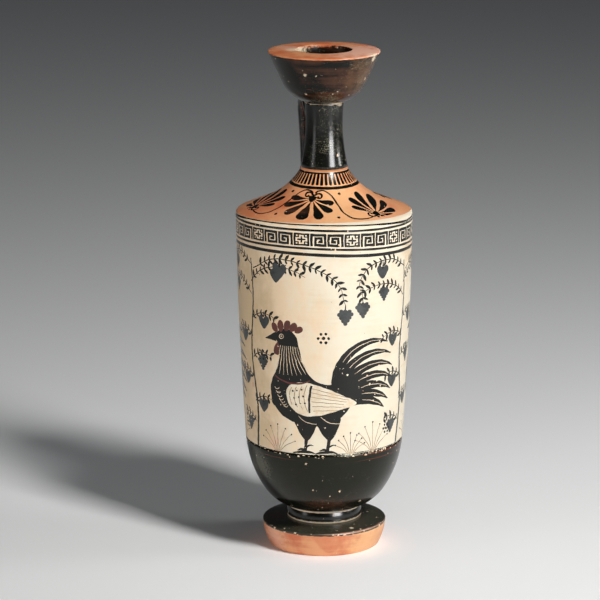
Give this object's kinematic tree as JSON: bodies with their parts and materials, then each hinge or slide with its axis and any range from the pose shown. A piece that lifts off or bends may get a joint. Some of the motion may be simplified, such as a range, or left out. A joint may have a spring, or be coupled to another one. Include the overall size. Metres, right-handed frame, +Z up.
{
  "type": "lekythos",
  "caption": "Tall turned oil flask with a broad-lipped mouth, narrow neck, sloping shoulder, cylindrical body on a disc foot and a strap handle behind the neck.",
  "frame": {"origin": "middle of the resting ring under the foot", "axes": "+Z up along the turning axis, +Y towards the handle"},
  "size_m": [0.105, 0.105, 0.301],
  "materials": {
    "black_gloss": "fired gloss slip over orange clay, worn at the edges",
    "orange_clay": "burnished bare clay, with black gloss on the belly and on top of the foot",
    "white_ground": "matt pale slip with painted bands and picture",
    "luting_slip": "fired clay slip"
  },
  "bodies": {
    "root": {"mouth": "black_gloss", "neck": "black_gloss", "handle": "black_gloss", "fillet_ring": "black_gloss", "body": "orange_clay", "foot": "orange_clay", "white_ground_coat": "white_ground", "mouth_joint_slip": "luting_slip", "neck_joint_slip": "luting_slip", "foot_joint_slip": "luting_slip", "handle_neck_slip": "luting_slip", "handle_shoulder_slip": "luting_slip"}
  },
  "joints": []
}
